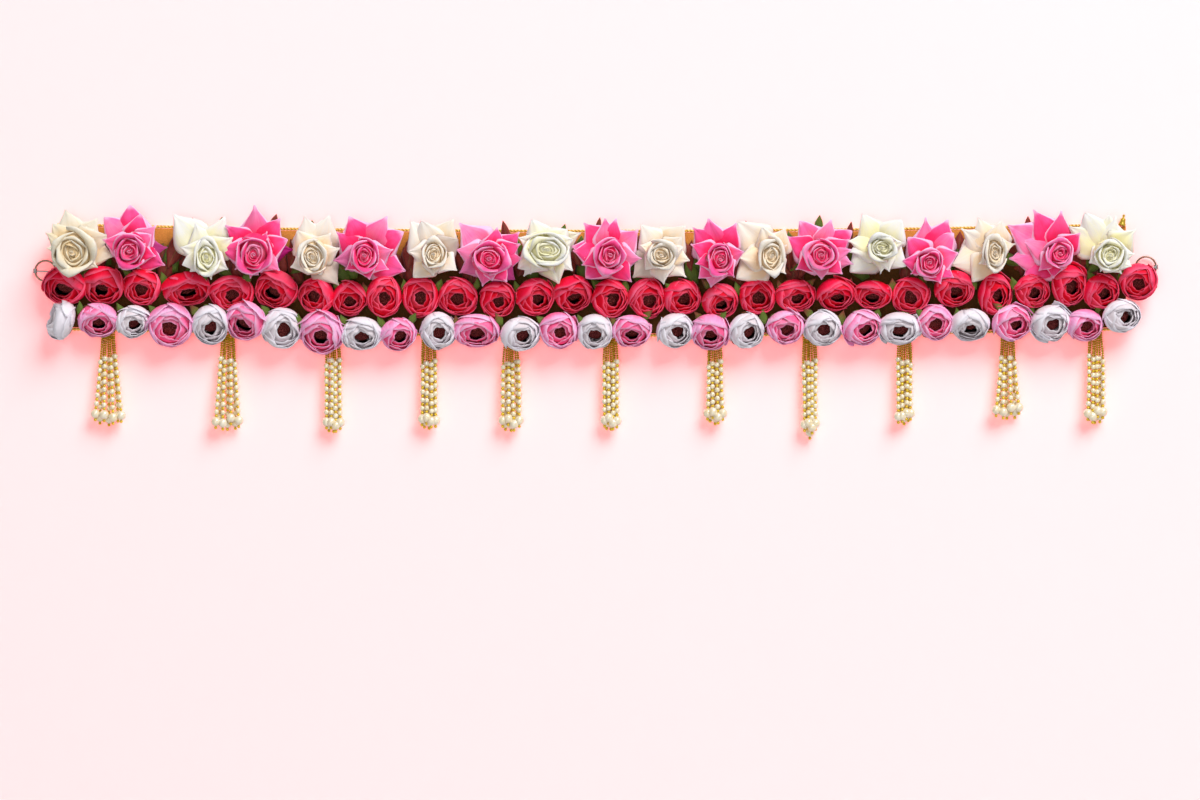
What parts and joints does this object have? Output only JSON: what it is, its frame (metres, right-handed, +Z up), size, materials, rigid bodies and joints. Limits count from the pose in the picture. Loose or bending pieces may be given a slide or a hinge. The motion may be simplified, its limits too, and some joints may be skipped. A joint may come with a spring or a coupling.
{
  "type": "floral door hanging",
  "caption": "Long door hanging of silk roses over two rows of round silk buds on a gold-edged band, with bead tassels below and a wire ring at each end.",
  "frame": {"origin": "middle of the band's flat back face, which lies against the wall", "axes": "+X along the band to the right as seen from the room, +Y into the wall, +Z up"},
  "size_m": [1.0152, 0.046, 0.211],
  "materials": {
    "band": "dark brown-green felted band",
    "gold_cord": "twisted gold lurex cord",
    "rose_pink": "matt pink silk, darker in the folds",
    "rose_cream": "matt cream silk, yellow in the folds",
    "bud_crimson": "crimson silk, dark mouth",
    "bud_white": "cool white silk, brown mouth",
    "bud_pink": "light pink silk, dark mouth",
    "leaf": "green sepals and leaf tips with brown ends",
    "pearl": "ivory pearl lustre",
    "gold_bead": "metallic gold seed beads",
    "bronze_wire": "bronze-toned wire",
    "steel_wire": "bright wire and crimp"
  },
  "bodies": {
    "garland": {"backing_band": "band", "edging_top": "gold_cord", "edging_bottom": "gold_cord", "end_cap": "gold_cord", "rose_01": "rose_cream", "rose_02": "rose_pink", "rose_03": "rose_cream", "rose_04": "rose_pink", "rose_05": "rose_cream", "rose_06": "rose_pink", "rose_07": "rose_cream", "rose_08": "rose_pink", "rose_09": "rose_cream", "rose_10": "rose_pink", "rose_11": "rose_cream", "rose_12": "rose_pink", "rose_13": "rose_cream", "rose_14": "rose_pink", "rose_15": "rose_cream", "rose_16": "rose_pink", "rose_17": "rose_cream", "rose_18": "rose_pink", "rose_19": "rose_cream", "middle_buds_01": "bud_crimson", "middle_buds_02": "bud_crimson", "middle_buds_03": "bud_crimson", "middle_buds_04": "bud_crimson", "middle_buds_05": "bud_crimson", "middle_buds_06": "bud_crimson", "middle_buds_07": "bud_crimson", "middle_buds_08": "bud_crimson", "middle_buds_09": "bud_crimson", "middle_buds_10": "bud_crimson", "bottom_buds_01": "bud_white", "bottom_buds_02": "bud_pink", "bottom_buds_03": "bud_white", "bottom_buds_04": "bud_pink", "bottom_buds_05": "bud_white", "bottom_buds_06": "bud_pink", "bottom_buds_07": "bud_white", "bottom_buds_08": "bud_pink", "bottom_buds_09": "bud_white", "bottom_buds_10": "bud_pink", "hanging_ring_left": "bronze_wire", "ring_tie_left": "steel_wire", "hanging_ring_right": "bronze_wire", "ring_tie_right": "steel_wire"},
    "tassel_01": {"tassel_01": "pearl"},
    "tassel_02": {"tassel_02": "pearl"},
    "tassel_03": {"tassel_03": "pearl"},
    "tassel_04": {"tassel_04": "pearl"},
    "tassel_05": {"tassel_05": "pearl"},
    "tassel_06": {"tassel_06": "pearl"},
    "tassel_07": {"tassel_07": "pearl"},
    "tassel_08": {"tassel_08": "pearl"},
    "tassel_09": {"tassel_09": "pearl"},
    "tassel_10": {"tassel_10": "pearl"},
    "tassel_11": {"tassel_11": "pearl"}
  },
  "joints": [
    {"name": "tassel_01_swing", "type": "hinge", "parent": "garland", "child": "tassel_01", "pos_m": [-0.439, -0.0023, -0.04768], "axis": [0, 1, 0], "range_deg": [-15, 15]},
    {"name": "tassel_02_swing", "type": "hinge", "parent": "garland", "child": "tassel_02", "pos_m": [-0.331, -0.0023, -0.04981], "axis": [0, 1, 0], "range_deg": [-15, 15]},
    {"name": "tassel_03_swing", "type": "hinge", "parent": "garland", "child": "tassel_03", "pos_m": [-0.236, -0.0023, -0.05118], "axis": [0, 1, 0], "range_deg": [-15, 15]},
    {"name": "tassel_04_swing", "type": "hinge", "parent": "garland", "child": "tassel_04", "pos_m": [-0.15, -0.0023, -0.05203], "axis": [0, 1, 0], "range_deg": [-15, 15]},
    {"name": "tassel_05_swing", "type": "hinge", "parent": "garland", "child": "tassel_05", "pos_m": [-0.076, -0.0023, -0.05245], "axis": [0, 1, 0], "range_deg": [-15, 15]},
    {"name": "tassel_06_swing", "type": "hinge", "parent": "garland", "child": "tassel_06", "pos_m": [0.014, -0.0023, -0.0526], "axis": [0, 1, 0], "range_deg": [-15, 15]},
    {"name": "tassel_07_swing", "type": "hinge", "parent": "garland", "child": "tassel_07", "pos_m": [0.108, -0.0023, -0.0523], "axis": [0, 1, 0], "range_deg": [-15, 15]},
    {"name": "tassel_08_swing", "type": "hinge", "parent": "garland", "child": "tassel_08", "pos_m": [0.1935, -0.0023, -0.05164], "axis": [0, 1, 0], "range_deg": [-15, 15]},
    {"name": "tassel_09_swing", "type": "hinge", "parent": "garland", "child": "tassel_09", "pos_m": [0.279, -0.0023, -0.05061], "axis": [0, 1, 0], "range_deg": [-15, 15]},
    {"name": "tassel_10_swing", "type": "hinge", "parent": "garland", "child": "tassel_10", "pos_m": [0.372, -0.0023, -0.04907], "axis": [0, 1, 0], "range_deg": [-15, 15]},
    {"name": "tassel_11_swing", "type": "hinge", "parent": "garland", "child": "tassel_11", "pos_m": [0.451, -0.0023, -0.04741], "axis": [0, 1, 0], "range_deg": [-15, 15]}
  ]
}
